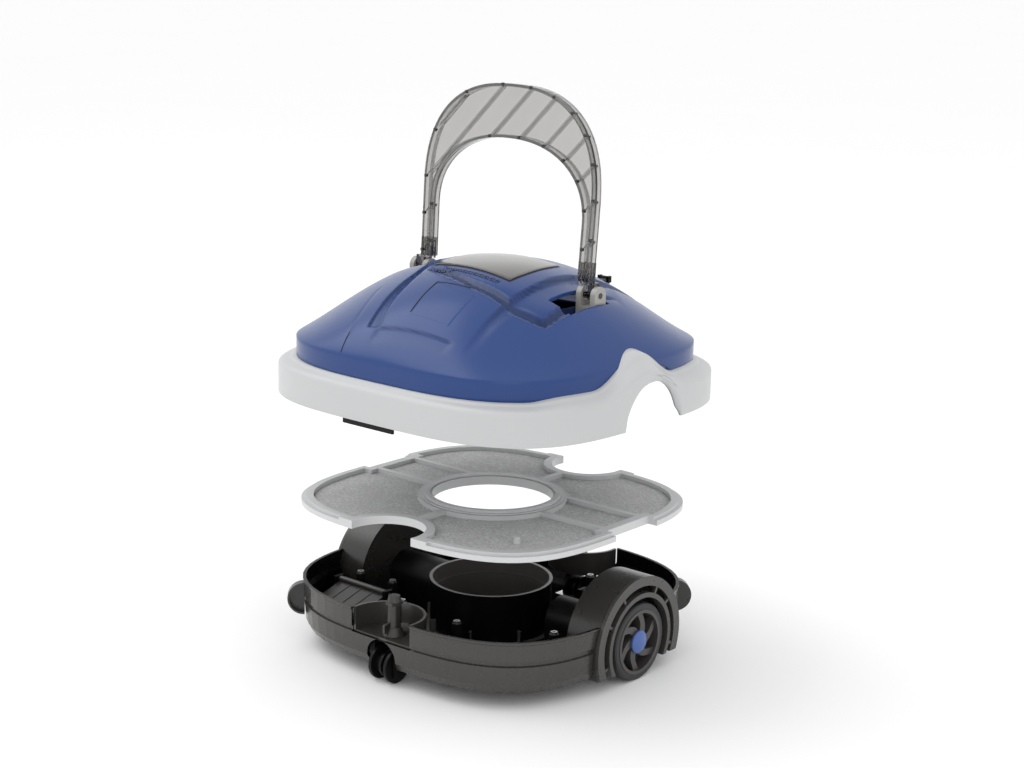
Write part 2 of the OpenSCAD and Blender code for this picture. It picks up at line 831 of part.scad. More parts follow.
module handle_arch() {
  color(smoke) leaning() {
    in_plane(handle_deep) difference() {
      polygon(arch_outer);
      polygon(arch_outer_in);
    }
    in_plane(handle_deep) difference() {
      polygon(arch_inner_out);
      polygon(arch_inner);
    }
    in_plane(3) difference() {
      polygon(arch_outer);
      polygon(arch_inner);
    }
    in_plane(8) intersection() {
      difference() {
        polygon(arch_outer);
        polygon(arch_inner);
      }
      for (k = [0 : 8]) translate([rib_first + k * rib_pitch, 0]) rotate(-rib_turn) translate([-0.8, 0]) square([1.6, 420]);
    }
  }
}

module handle_feet() {
  color(black) leaning() left_right() translate([handle_x, 0, 0]) difference() {
    union() {
      translate([-5.4, -6, 0]) cube([10.8, 12, 12]);
      rod_x(6, -5.4, 5.4, 40);
      translate([-13, -4.2, 9.5]) cube([14, 8.4, 22]);
    }
    rod_x(3.05, -20, 20, 32);
    translate([-16, -1.8, 9]) cube([20, 3.6, 40]);
  }
}

// ---- inside the cover ----

module inner_deck() {
  color(black) on_cover() {
    difference() {
      slab(165, 155, 2.6, deck_z, deck_z + deck_t);
      translate([0, 0, deck_z - 1]) cylinder(r = pod_r + gap, h = 6, $fn = 96);
      for (p = deck_places) translate([p[0], p[1], deck_z - 1]) cylinder(r = 2.3, h = 6, $fn = 24);
    }
    for (p = deck_places) translate([p[0], p[1], deck_z + deck_t - 0.1]) difference() {
      cylinder(r = 5, h = 12, $fn = 32);
      translate([0, 0, -1]) cylinder(r = 1.8, h = 20, $fn = 24);
    }
    for (s = [-1, 1]) translate([-100, s * 119 - 1, deck_z + deck_t - 0.1]) cube([200, 2, 6]);
  }
}

deck_places = [[-110, -100], [110, -100], [-110, 100], [110, 100], [-150, 0], [150, 0]];

module deck_screws() {
  color(steel) on_cover() for (p = deck_places)
    translate([p[0], p[1], deck_z - 0.1]) mirror([0, 0, 1]) screw(4, 1.75, 12);
}

module pump_housing() {
  color(black) on_cover() difference() {
    union() {
      tube(pod_r, pod_r - 2.5, pod_low, deck_z + 6);
      tube(pod_r + 6, pod_r - 1, deck_z + deck_t, deck_z + deck_t + 3);
      tube(24, 20.5, 62, 124);
      for (t = [0 : 60 : 300]) rotate([0, 0, t]) translate([22, -1.2, 66]) cube([pod_r - 23.5, 2.4, 40]);
    }
    for (t = [30 : 60 : 330]) rotate([0, 0, t]) translate([pod_r - 8, -16, 72]) cube([12, 32, 28]);
  }
}

module pump_motor() {
  color(steel) on_cover() difference() {
    union() {
      translate([0, 0, 64]) cylinder(r = 20, h = 50, $fn = 64);
      translate([0, 0, 58]) cylinder(r = 8, h = 7, $fn = 40);
      translate([0, 0, 114]) cylinder(r = 12, h = 4, $fn = 40);
    }
    translate([0, 0, 50]) cylinder(r = 2.55, h = 20, $fn = 32);
  }
}

module impeller() {
  color(grey) on_cover() {
    translate([0, 0, 30]) cylinder(r = 10, h = 22, $fn = 48);
    translate([0, 0, 24]) cylinder(r1 = 5, r2 = 10, h = 6.1, $fn = 48);
    translate([0, 0, 51]) cylinder(r = 2.5, h = 17, $fn = 32);
    for (k = [0 : 2]) rotate([0, 0, 120 * k]) translate([8, 0, 41]) rotate([34, 0, 0])
      translate([0, -11, -1.2]) cube([40, 22, 2.4]);
  }
}

module intake_grille() {
  color(black) on_cover() translate([0, 0, pod_low]) {
    tube(pod_r - 2.8, pod_r - 6, 0, 4);
    tube(34, 31.5, 0, 3.3);
    cylinder(r = 8, h = 3.6, $fn = 40);
    for (t = [0 : 45 : 315]) rotate([0, 0, t]) translate([6.5, -1.2, 0]) cube([pod_r - 11.5, 2.4, 2.8]);
  }
}

module battery_pack() {
  color([0.15, 0.35, 0.25]) on_cover() left_right() for (k = [0 : 2])
    translate([70, -22 + k * 22, deck_z + deck_t + 10]) rod_x(9.3, -4, 66, 48);
}

module battery_strap() {
  color(black) on_cover() left_right() for (x = [78, 120]) difference() {
    translate([x, -35, deck_z + deck_t + gap]) cube([8, 70, 21.5]);
    translate([x - 1, -33, deck_z + deck_t - 1]) cube([10, 66, 20.6]);
  }
}

module control_board() {
  board_z = deck_z + deck_t + 9;
  color([0.05, 0.30, 0.12]) on_cover() {
    translate([-40, -48, board_z]) cube([80, 90, 1.6]);
    translate([-30, -36, board_z + 1.5]) cube([18, 18, 3]);
    translate([10, -30, board_z + 1.5]) cube([24, 12, 4]);
    translate([8, 10, board_z + 1.5]) cylinder(r = 6, h = 12, $fn = 32);
    translate([-20, 14, board_z + 1.5]) cylinder(r = 5, h = 10, $fn = 32);
    for (x = [-34, 34], y = [-42, 36])
      translate([x, y, deck_z + deck_t + 3 + gap]) cylinder(r = 3, h = 9 - 3 - gap + 0.1, $fn = 24);
  }
}

module button_seat() {
  color(blue) on_cover() translate([0, button_y, 0]) {
    tube(13, 9.3, 146, button_z, 48);
    tube(13, 5, 146, 149, 48);
  }
}

module power_button() {
  color(grey) on_cover() translate([0, button_y, 0]) {
    translate([0, 0, 158]) cylinder(r = 9, h = button_z + 2 - 158, $fn = 48);
    translate([0, 0, 144]) cylinder(r = 3, h = 15, $fn = 32);
  }
}

module button_spring() {
  color(steel) on_cover() translate([0, button_y, 0]) tube(7, 5.6, 149.05, 157.95, 32);
}

module charge_port() {
  color(black) on_cover() translate([port_x, port_y, 0]) {
    tube(13, 8, 140, port_z, 48);
    translate([0, 0, 140]) cylinder(r = 9, h = 3, $fn = 40);
    translate([0, 0, 142.9]) cylinder(r = 1.5, h = 12, $fn = 24);
    for (s = [-1, 1]) difference() {
      translate([s * 6 - 1.5, 9.5, port_z - 2]) cube([3, 5, 7]);
      translate([0, 12, port_z + 2.6]) rod_x(1.3, -20, 20, 24);
    }
  }
}

module port_cap() {
  color(black) on_cover() translate([port_x, port_y, 0]) {
    translate([0, 0, port_z + gap]) cylinder(r = 9, h = 2.4, $fn = 48);
    translate([0, 0, port_z - 3]) cylinder(r = 7.6, h = 4, $fn = 48);
    translate([-3, -12, port_z + gap]) cube([6, 6, 2]);
    translate([-4, 5, port_z + gap + 0.4]) cube([8, 7, 2]);
    translate([0, 12, port_z + 2.6]) rod_x(1.25, -8, 8, 24);
    translate([0, 12, port_z + 2.6]) rod_x(2.2, -4, 4, 24);
  }
}

base_tray();
pump_well();
well_grille();
pocket_cups();
wheel_well_left();
wheel_well_right();
fender_left();
fender_right();
corner_bumpers();
latch_posts();
roller_brackets();
roller_pins();
roller_front();
roller_rear();
inlet_ducts();
flap_pins();
flap_front();
flap_rear();
screw_bosses();
base_screws();
motor_left();
motor_right();
motor_covers();
axle_bushes();
axle_left();
axle_right();
tyre_left();
tyre_right();
rim_left();
rim_right();
hub_cap_left();
hub_cap_right();
filter_frame();
filter_mesh();
filter_peg();
skirt();
skirt_liner();
dome();
crown_panel();
grip_strip();
front_hatch();
pocket_tubs();
handle_sockets();
pivot_pins();
handle_arch();
handle_feet();
inner_deck();
pump_housing();
pump_motor();
impeller();
intake_grille();
battery_pack();
battery_strap();
control_board();
power_button();
button_spring();
button_seat();
charge_port();
port_cap();
deck_screws();
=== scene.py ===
"""Looks of a floor-running pool cleaner opened into its layers.

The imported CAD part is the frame. This script gives every piece its material, rounds the edges of the
moulded CAD pieces, and builds the sculpted dome, the skirt, the crown panel, the hatch and the small
details of the handle in their CAD places. Shapes are worked out in millimetres and made in metres.
"""
import math

import bpy
import numpy as np
from mathutils import Matrix, Vector


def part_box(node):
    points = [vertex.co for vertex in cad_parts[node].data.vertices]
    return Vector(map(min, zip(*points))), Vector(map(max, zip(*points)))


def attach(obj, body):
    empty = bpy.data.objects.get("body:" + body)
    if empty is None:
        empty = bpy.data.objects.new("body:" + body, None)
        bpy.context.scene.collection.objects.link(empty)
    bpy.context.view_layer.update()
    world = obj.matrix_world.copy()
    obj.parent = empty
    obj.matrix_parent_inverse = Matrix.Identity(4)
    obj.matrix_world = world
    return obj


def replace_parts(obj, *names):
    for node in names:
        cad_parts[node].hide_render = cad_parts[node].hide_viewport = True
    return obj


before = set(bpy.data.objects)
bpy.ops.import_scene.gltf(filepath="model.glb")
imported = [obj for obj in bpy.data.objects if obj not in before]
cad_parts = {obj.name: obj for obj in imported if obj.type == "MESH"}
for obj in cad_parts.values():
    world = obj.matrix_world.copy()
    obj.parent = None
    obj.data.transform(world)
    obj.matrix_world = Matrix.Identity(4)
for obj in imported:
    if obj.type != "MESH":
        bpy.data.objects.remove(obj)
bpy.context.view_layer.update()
MM = 0.001


# ---- places and sizes from the CAD frame, in millimetres ----

def corners(node):
    """Lowest and highest corner of a CAD node."""
    low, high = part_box(node)
    return np.array(low) / MM, np.array(high) / MM


dome_low, dome_high = corners("dome")
skirt_low, skirt_high = corners("skirt")
tyre_low, tyre_high = corners("tyre_right")
arch_high = corners("handle_arch")[1]
pin_low, pin_high = corners("pivot_pins")

# The dome: half sizes of its plan, its upright side, the roof above it, and how square the plan is.
DOME_X, DOME_Y = dome_high[0], dome_high[1]
SIDE_HEIGHT = 21
CREASE_Z = dome_low[2] + SIDE_HEIGHT
DOME_RISE = dome_high[2] - CREASE_Z
DOME_SQUARE = 3.2
DOME_COLUMNS, DOME_RINGS = 460, 104

# The skirt: half sizes and squareness of its plan, its wall's height, and the thickness of both shells.
SKIRT_X, SKIRT_Y = skirt_high[0], skirt_high[1]
SKIRT_SQUARE = 3.5
SKIRT_WALL = 34
SKIRT_COLUMNS = 600
SHELL = 3.0

# The wheel wells: the dome's edge and the skirt leave room for a drum of DRUM_R round the axle's place.
AXLE_Y = (tyre_low[1] + tyre_high[1]) / 2
DRUM_BELOW_EDGE = 54.3
DRUM_Z = dome_low[2] - DRUM_BELOW_EDGE
DRUM_R = 70.5
DRUM_FROM_X = 150
SHOULDER_RISE, CREST_RISE = 23, 28
ARCH_Y = AXLE_Y - 7
ARCH_FRONT, ARCH_REAR, ARCH_RISE = 48, 46, 42

# The slots in the dome beside the handle sockets start this far from the middle.
POCKET_INNER_X = 99


# ---- mesh helpers ----

def ease(low, high, value):
    """0 below low, 1 above high, and a smooth step between."""
    share = np.clip((value - low) / (high - low), 0, 1)
    return share * share * (3 - 2 * share)


def bell(share):
    """1 at share 0, falling along a cosine to 0 at share 1 or -1."""
    return np.where(np.abs(share) < 1, 0.5 + 0.5 * np.cos(np.pi * share), 0)


def piece(name, points, faces, body, material, smooth=True):
    """A mesh object from millimetre points that rides on a CAD body."""
    mesh = bpy.data.meshes.new(name)
    mesh.from_pydata([tuple(p) for p in np.asarray(points, float) * MM], [], faces)
    mesh.update()
    if smooth:
        mesh.shade_smooth()
    obj = bpy.data.objects.new(name, mesh)
    bpy.context.scene.collection.objects.link(obj)
    mesh.materials.append(material)
    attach(obj, body)
    return obj


def prism_sides(base, count):
    """Side faces between two loops of count points that follow each other from base on."""
    faces = []
    for k in range(count):
        there = (k + 1) % count
        faces.append((base + k, base + there, base + count + there, base + count + k))
    return faces


def skin(rings, loop_rows):
    """Points and faces of a closed skin through equal rings of points.

    With loop_rows the last ring joins the first, like a tyre. Without, both end rings are closed
    with a fan round their middle.
    """
    rows, columns = len(rings), len(rings[0])
    points = [p for ring in rings for p in ring]
    faces = []
    for r in range(rows if loop_rows else rows - 1):
        below, above = r * columns, (r + 1) % rows * columns
        for c in range(columns):
            d = (c + 1) % columns
            faces.append((below + c, below + d, above + d, above + c))
    if not loop_rows:
        first, last = len(points), len(points) + 1
        points += [np.mean(rings[0], axis=0), np.mean(rings[-1], axis=0)]
        top = (rows - 1) * columns
        for c in range(columns):
            d = (c + 1) % columns
            faces.append((first, d, c))
            faces.append((last, top + c, top + d))
    return points, faces


def reach(half_x, half_y, power, angle):
    """Distance from the middle to a rounded rectangle with bowed sides."""
    return ((np.abs(np.cos(angle)) / half_x) ** power
            + (np.abs(np.sin(angle)) / half_y) ** power) ** (-1 / power)


def bevelled(obj, width_mm, angle_deg=35):
    """Rounds the edges of an object that are sharper than an angle."""
    bevel = obj.modifiers.new("edges", "BEVEL")
    bevel.width = width_mm * MM
    bevel.segments = 2
    bevel.limit_method = "ANGLE"
    bevel.angle_limit = math.radians(angle_deg)
    bevel.use_clamp_overlap = True
    return obj


# ---- materials ----

class Paint:
    """A node material under construction: a Principled shader and its texture coordinates."""

    def __init__(self, name):
        self.material = bpy.data.materials.new(name)
        self.material.use_nodes = True
        self.tree = self.material.node_tree
        self.shader = self.tree.nodes["Principled BSDF"]
        self.place = self.tree.nodes.new("ShaderNodeTexCoord").outputs["Object"]

    def node(self, kind, **values):
        made = self.tree.nodes.new(kind)
        for key, value in values.items():
            setattr(made, key, value)
        return made

    def link(self, out, socket):
        self.tree.links.new(out, socket)

    def stretched(self, x, y, z):
        """Coordinates with their scale changed along each axis."""
        mapping = self.node("ShaderNodeMapping")
        mapping.inputs["Scale"].default_value = (x, y, z)
        self.link(self.place, mapping.inputs["Vector"])
        return mapping.outputs["Vector"]

    def noise(self, scale, detail=4, vector=None, rough=0.6):
        made = self.node("ShaderNodeTexNoise")
        made.inputs["Scale"].default_value = scale
        made.inputs["Detail"].default_value = detail
        made.inputs["Roughness"].default_value = rough
        self.link(vector or self.place, made.inputs["Vector"])
        return made.outputs["Fac"]

    def ranged(self, value, from_low, from_high, to_low, to_high):
        made = self.node("ShaderNodeMapRange")
        for socket, number in zip(("From Min", "From Max", "To Min", "To Max"),
                                  (from_low, from_high, to_low, to_high)):
            made.inputs[socket].default_value = number
        self.link(value, made.inputs["Value"])
        return made.outputs["Result"]

    def mixed(self, share, first, second):
        """A colour between two others; each is a colour or a socket."""
        made = self.node("ShaderNodeMix", data_type="RGBA")
        self.link(share, made.inputs[0])
        for index, colour in ((6, first), (7, second)):
            if isinstance(colour, bpy.types.NodeSocket):
                self.link(colour, made.inputs[index])
            else:
                made.inputs[index].default_value = (*colour, 1)
        return made.outputs[2]

    def bumped(self, height, strength, distance_mm):
        bump = self.node("ShaderNodeBump")
        bump.inputs["Strength"].default_value = strength
        bump.inputs["Distance"].default_value = distance_mm * MM
        self.link(height, bump.inputs["Height"])
        self.link(bump.outputs["Normal"], self.shader.inputs["Normal"])

    def painted_edge_highlight(self, colour, lighter, share):
        """Mixes a lighter colour in along the convex edges, as a painted highlight where they catch the
        light.
        """
        edge = self.ranged(self.node("ShaderNodeNewGeometry").outputs["Pointiness"], 0.52, 0.6, 0, share)
        return self.mixed(edge, colour, lighter)

    def set(self, **values):
        for socket, value in values.items():
            self.shader.inputs[socket.replace("_", " ")].default_value = value


def scaled(colour, factor):
    return tuple(min(1, c * factor) for c in colour)


def moulded(name, colour, rough, grain=1400, depth=0.02, mottle=0.04, **values):
    """Moulded plastic: fine grain, and faint flow marks in colour and gloss."""
    paint = Paint(name)
    flow = paint.noise(14, 5, paint.stretched(1, 1, 2.2))
    base = paint.mixed(flow, scaled(colour, 1 - mottle), scaled(colour, 1 + mottle))
    paint.link(base, paint.shader.inputs["Base Color"])
    paint.link(paint.ranged(paint.noise(70, 3), 0.25, 0.75, rough - 0.02, rough + 0.03),
               paint.shader.inputs["Roughness"])
    paint.bumped(paint.noise(grain, 3), 0.2, depth)
    paint.set(**values)
    return paint.material


def hollow_painted_light_and_shade(name, outside, inside, gloss_outside, gloss_inside, rough):
    """Moulded tub with painted light and shade: its outward faces differ in colour and gloss from its
    inward and level faces.
    """
    paint = Paint(name)
    away = paint.node("ShaderNodeVectorMath", operation="NORMALIZE")
    paint.link(paint.stretched(1, 1, 0), away.inputs[0])
    facing = paint.node("ShaderNodeVectorMath", operation="DOT_PRODUCT")
    paint.link(away.outputs["Vector"], facing.inputs[0])
    paint.link(paint.node("ShaderNodeNewGeometry").outputs["Normal"], facing.inputs[1])
    outward = paint.ranged(facing.outputs["Value"], 0.1, 0.3, 0, 1)
    flow = paint.noise(14, 4)
    shade = paint.mixed(flow, scaled(outside, 0.93), scaled(outside, 1.07))
    paint.link(paint.mixed(outward, inside, shade), paint.shader.inputs["Base Color"])
    paint.link(paint.ranged(outward, 0, 1, gloss_inside, gloss_outside),
               paint.shader.inputs["Specular IOR Level"])
    paint.link(paint.ranged(paint.noise(70, 3), 0.25, 0.75, rough - 0.02, rough + 0.03),
               paint.shader.inputs["Roughness"])
    paint.bumped(paint.noise(1400, 3), 0.2, 0.02)
    return paint.material


def metal(name, colour, rough, along=(1, 1, 30)):
    """Drawn or turned metal: fine marks in one direction and uneven gloss."""
    paint = Paint(name)
    marks = paint.noise(260, 4, paint.stretched(*along))
    base = paint.mixed(paint.ranged(marks, 0.3, 0.7, 0, 1), scaled(colour, 0.82), scaled(colour, 1.08))
    paint.link(base, paint.shader.inputs["Base Color"])
    paint.link(paint.ranged(paint.noise(90, 5), 0.3, 0.7, rough - 0.07, rough + 0.1),
               paint.shader.inputs["Roughness"])
    paint.bumped(marks, 0.25, 0.03)
    paint.set(Metallic=1.0)
    return paint.material


def rubber(name, colour, rough):
    """Rubber: dull, pitted, with a little dust in the pits."""
    paint = Paint(name)
    pits = paint.noise(900, 5)
    dust = paint.ranged(paint.noise(36, 6), 0.45, 0.75, 0, 0.35)
    base = paint.mixed(dust, colour, scaled(colour, 1.9))
    # Lighter convex edges: painted highlight.
    paint.link(paint.painted_edge_highlight(base, scaled(colour, 2.4), 0.3), paint.shader.inputs["Base Color"])
    paint.link(paint.ranged(pits, 0.3, 0.7, rough - 0.08, rough + 0.08), paint.shader.inputs["Roughness"])
    paint.bumped(pits, 0.45, 0.12)
    return paint.material


def felt(name, dark, light):
    """Needled filter felt: short crossed fibres, speckled light and dark."""
    paint = Paint(name)
    turned = paint.node("ShaderNodeMapping")
    turned.inputs["Rotation"].default_value = (0, 0, math.radians(52))
    turned.inputs["Scale"].default_value = (1, 5, 1)
    paint.link(paint.place, turned.inputs["Vector"])
    long_fibres = paint.noise(190, 8, turned.outputs["Vector"], 0.75)
    cross_fibres = paint.noise(240, 8, paint.stretched(4, 1, 1), 0.75)
    clumps = paint.noise(60, 4)
    fibres = paint.node("ShaderNodeMath", operation="MULTIPLY")
    paint.link(long_fibres, fibres.inputs[0])
    paint.link(cross_fibres, fibres.inputs[1])
    speckle = paint.mixed(paint.ranged(fibres.outputs[0], 0.16, 0.36, 0, 1), dark, light)
    shade = paint.mixed(paint.ranged(clumps, 0.3, 0.7, 0, 0.3), speckle, scaled(dark, 0.9))
    paint.link(shade, paint.shader.inputs["Base Color"])
    paint.bumped(fibres.outputs[0], 0.8, 0.8)
    paint.set(Roughness=0.95, Sheen_Weight=0.25, Sheen_Roughness=0.6)
    return paint.material


def clear_plastic(name, colour, rough):
    """Smoky see-through plastic, darker where it is thick, with faint waves from moulding."""
    paint = Paint(name)
    flow = paint.noise(22, 3, paint.stretched(1, 1, 0.4))
    base = paint.mixed(flow, scaled(colour, 0.94), scaled(colour, 1.04))
    paint.link(base, paint.shader.inputs["Base Color"])
    paint.link(paint.ranged(paint.noise(60, 4), 0.3, 0.7, rough - 0.02, rough + 0.03),
               paint.shader.inputs["Roughness"])
    paint.bumped(flow, 0.12, 0.4)
    paint.set(Transmission_Weight=1.0, IOR=1.42)
    tint = paint.node("ShaderNodeVolumeAbsorption")
    tint.inputs["Color"].default_value = (*scaled(colour, 0.3), 1)
    tint.inputs["Density"].default_value = 170
    output = paint.tree.nodes["Material Output"]
    paint.link(tint.outputs["Volume"], output.inputs["Volume"])
    return paint.material


def blue_shell(name, colour, groove):
    """Blue moulded shell with painted shade: darker in its grooves and on their steep walls, as much as
    the mesh's 'cut' attribute says.
    """
    paint = Paint(name)
    flow = paint.noise(9, 4)
    base = paint.mixed(flow, scaled(colour, 0.94), scaled(colour, 1.06))
    # Painted shade: the 'cut' attribute mixes in the darker colour where the channels and walls of the
    # relief lie in shadow.
    cut = paint.node("ShaderNodeAttribute", attribute_name="cut")
    base = paint.mixed(cut.outputs["Fac"], base, groove)
    # Lighter convex edges: painted highlight.
    paint.link(paint.painted_edge_highlight(base, scaled(colour, 1.7), 0.2), paint.shader.inputs["Base Color"])
    paint.link(paint.ranged(paint.noise(80, 4), 0.25, 0.75, 0.22, 0.27), paint.shader.inputs["Roughness"])
    paint.bumped(paint.noise(1500, 3), 0.25, 0.04)
    paint.set(Specular_IOR_Level=0.34)
    return paint.material


def circuit(name):
    """Green circuit board with a grid of copper tracks and pale specks of solder."""
    paint = Paint(name)
    tracks = paint.node("ShaderNodeTexBrick")
    tracks.inputs["Scale"].default_value = 160
    tracks.inputs["Mortar Size"].default_value = 0.03
    paint.link(paint.place, tracks.inputs["Vector"])
    base = paint.mixed(tracks.outputs["Fac"], (0.02, 0.11, 0.04), (0.22, 0.2, 0.06))
    solder = paint.ranged(paint.noise(420, 1), 0.66, 0.7, 0, 1)
    paint.link(paint.mixed(solder, base, (0.6, 0.6, 0.62)), paint.shader.inputs["Base Color"])
    paint.bumped(tracks.outputs["Fac"], 0.4, 0.1)
    paint.set(Roughness=0.4)
    return paint.material


BLUE = (0.0175, 0.052, 0.195)
# Near black, painted as shade on the tray's inward and level faces and on the pump well's outward faces.
PAINTED_SHADE_BLACK = (0.0025, 0.0025, 0.0025)
black_plastic = moulded("black_plastic", (0.024, 0.022, 0.0205), 0.28, Specular_IOR_Level=0.6)
# Black plastic painted darker and duller, as painted shade, for the parts that sit inside the cleaner.
shade_darkened_black = moulded("shade_darkened_black", (0.0035, 0.0035, 0.0035), 0.4, Specular_IOR_Level=0.2)
# Tray: inward and level faces painted near black as shade. Pump well: outward faces painted near black as
# shade, inward and level faces painted lighter as painted light.
tray_black = hollow_painted_light_and_shade("tray_black", (0.038, 0.0345, 0.031), PAINTED_SHADE_BLACK,
                    gloss_outside=0.6, gloss_inside=0.15, rough=0.26)
well_black = hollow_painted_light_and_shade("well_black", PAINTED_SHADE_BLACK, (0.085, 0.079, 0.074),
                    gloss_outside=0.15, gloss_inside=0.7, rough=0.3)
fender_grey = moulded("fender_grey", (0.046, 0.0435, 0.0415), 0.28, Specular_IOR_Level=0.6)
cup_grey = moulded("cup_grey", (0.035, 0.032, 0.03), 0.3, Specular_IOR_Level=0.8)
off_white = moulded("off_white", (0.6, 0.605, 0.61), 0.42, grain=1100, mottle=0.03)
skirt_white = moulded("skirt_white", (0.525, 0.53, 0.535), 0.36, grain=1700, mottle=0.02)
# The second colour is the painted shade for the dome's grooves and walls.
dome_blue = blue_shell("dome_blue", BLUE, scaled(BLUE, 0.4))
deep_blue = moulded("deep_blue", scaled(BLUE, 0.5), 0.35)
seam_blue = moulded("seam_blue", scaled(BLUE, 0.12), 0.5)
cap_blue = moulded("cap_blue", (0.07, 0.13, 0.37), 0.3)
panel_grey = moulded("panel_grey", (0.06, 0.056, 0.051), 0.2, grain=600, depth=0.01,
                     Coat_Weight=0.6, Coat_Roughness=0.08)
rim_grey = moulded("rim_grey", (0.05, 0.047, 0.045), 0.3)
flap_grey = moulded("flap_grey", (0.035, 0.033, 0.031), 0.3)
socket_grey = moulded("socket_grey", (0.36, 0.35, 0.33), 0.38)
tyre_rubber = rubber("tyre_rubber", (0.014, 0.0135, 0.013), 0.5)
smoke = clear_plastic("smoke_clear", (0.8, 0.79, 0.78), 0.05)
smoke_dark = moulded("smoke_dark", (0.03, 0.029, 0.028), 0.25)
steel = metal("steel", (0.62, 0.62, 0.63), 0.28)
motor_can = metal("motor_can", (0.5, 0.5, 0.51), 0.35, along=(30, 1, 1))
bronze = metal("bronze", (0.6, 0.44, 0.2), 0.3)
battery_wrap = moulded("battery_wrap", (0.03, 0.12, 0.075), 0.3)
board_green = circuit("board_green")
filter_felt = felt("filter_felt", (0.3, 0.306, 0.295), (0.85, 0.86, 0.85))

NODE_LOOKS = {
    black_plastic: ["wheel_well_left", "wheel_well_right", "corner_bumpers", "latch_posts",
                    "pump_housing"],
    fender_grey: ["fender_left", "fender_right"],
    # Parts inside the cleaner: black darkened as painted shade.
    shade_darkened_black: ["well_grille", "roller_brackets", "skirt_liner", "inner_deck", "intake_grille",
                  "battery_strap", "charge_port", "port_cap", "roller_front", "roller_rear",
                  "inlet_ducts", "screw_bosses", "motor_covers"],
    tray_black: ["base_tray"],
    well_black: ["pump_well"],
    cup_grey: ["pocket_cups"],
    off_white: ["filter_frame", "filter_peg"],
    deep_blue: ["pocket_tubs", "button_seat"],
    cap_blue: ["hub_cap_left", "hub_cap_right"],
    rim_grey: ["rim_left", "rim_right"],
    flap_grey: ["flap_front", "flap_rear"],
    socket_grey: ["handle_sockets", "power_button", "impeller"],
    tyre_rubber: ["tyre_left", "tyre_right"],
    smoke: ["handle_arch", "handle_feet"],
    smoke_dark: ["pivot_pins"],
    steel: ["roller_pins", "flap_pins", "base_screws", "axle_left", "axle_right", "deck_screws",
            "button_spring"],
    motor_can: ["motor_left", "motor_right", "pump_motor"],
    bronze: ["axle_bushes"],
    battery_wrap: ["battery_pack"],
    board_green: ["control_board"],
    filter_felt: ["filter_mesh"],
}
# Width of the rounded edges, where it isn't the usual one.
USUAL_EDGE_MM = 0.4
EDGE_MM = {"base_tray": 0.6, "pump_well": 0.5, "filter_frame": 0.9, "handle_arch": 0.5, "filter_mesh": 0,
           "button_spring": 0, "base_screws": 0.2, "deck_screws": 0.2, "control_board": 0.2}


def dress_cad_nodes():
    """Material and rounded edges for every CAD node that stays in view."""
    for material, names in NODE_LOOKS.items():
        for name in names:
            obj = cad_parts[name]
            obj.data.materials.clear()
            obj.data.materials.append(material)
            width = EDGE_MM.get(name, USUAL_EDGE_MM)
            if width:
                bevelled(obj, width)


# ---- dome ----
# Its sculpted lines are given by plan points in millimetres, x to the right and y to the rear, and
# np.interp joins them. Every depth is measured straight down from the plain dome.

def radius_share(x, y, power):
    """Share of the way from the middle to a rounded outline with the dome's half sizes."""
    return ((np.abs(x) / DOME_X) ** power + (np.abs(y) / DOME_Y) ** power) ** (1 / power)


def dome_share(x, y):
    """Share of the way from the middle to the dome's edge, rounder towards the top."""
    edge = np.minimum(1, radius_share(x, y, DOME_SQUARE))
    weight = edge ** 4
    return weight * edge + (1 - weight) * radius_share(x, y, 1.8)


def dome_top(x, y):
    """Height of the plain dome, without its grooves."""
    share = np.minimum(dome_share(x, y), 1)
    return CREASE_Z + DOME_RISE * np.maximum(0, 1 - share ** 2.4) ** 0.85


def left_groove(x, y):
    """Depth of the groove on the left of the spine: a sharp wall, then a ramp up to the right."""
    along = np.abs(y)
    wall = np.interp(along, [0, 22, 45, 68, 95, 116, 135, 151], [-70, -66, -58, -51, -48, -45, -41, -37])
    width = np.interp(along, [45, 61, 93, 119, 151], [8, 8, 13, 14, 17])
    share = np.clip((x - wall) / width, 0, 1)
    steep = np.interp(along, [60, 150], [1.2, 4])
    ramp = 1 - share ** steep
    return 3.6 * ease(0, 1.4, x - wall) * ramp * (1 - ease(150, 154, along))


def right_arm(x, y):
    """Depth of the step down on the right of the crown."""
    edge = np.interp(y, [-150, -109, -61, -20, 30, 100, 150], [86, 81, 79, 77.5, 76, 82, 88])
    step = np.interp(y, [-150, -135, -109, -88, -61, -27, 40, 100, 145],
                     [0, 0.6, 2, 3.2, 4.6, 5.6, 5.2, 3, 0])
    reach_mm = np.interp(y, [-150, -95, -76, -66, 45, 70, 150], [14, 16, 18, 60, 60, 20, 14])
    return step * ease(0, 2.2, x - edge) * (1 - ease(3, reach_mm, x - edge))


def left_arm(x, y):
    """The mirrored step behind the crown on the left, hidden from the front."""
    step = 5 * ease(-40, -20, y) * (1 - ease(50, 130, y))
    outside = -70 - x
    return step * ease(0, 2.2, outside) * (1 - ease(3, 60, outside))


def channel(distance, half_width, depth):
    """Depth of a channel with sloped walls, by distance from its middle line."""
    return depth * (1 - ease(half_width - 2.4, half_width, np.abs(distance)))


def front_channel(x, y):
    """The channel that crosses the spine in front of the crown panel."""
    middle = np.interp(x, [-50, -11, 31, 61, 95, 112, 124], [-50, -65.5, -75, -75.5, -79, -74, -69])
    depth = 3.4 * ease(-52, -20, x) * (1 - ease(122, 127, x))
    return channel(y - middle, 6.6, depth)


def side_moat(x, y):
    """The moat on the outer side of each handle pocket."""
    middle = np.interp(y, [-76, -66, -34, 0, 40], [116, 121, 120.5, 117.5, 116])
    depth = 3.6 * ease(-78, -72, y) * (1 - ease(34, 48, y))
    return channel(np.abs(x) - middle, 5.2, depth * np.where(x > 0, 1, ease(-44, -34, y)))


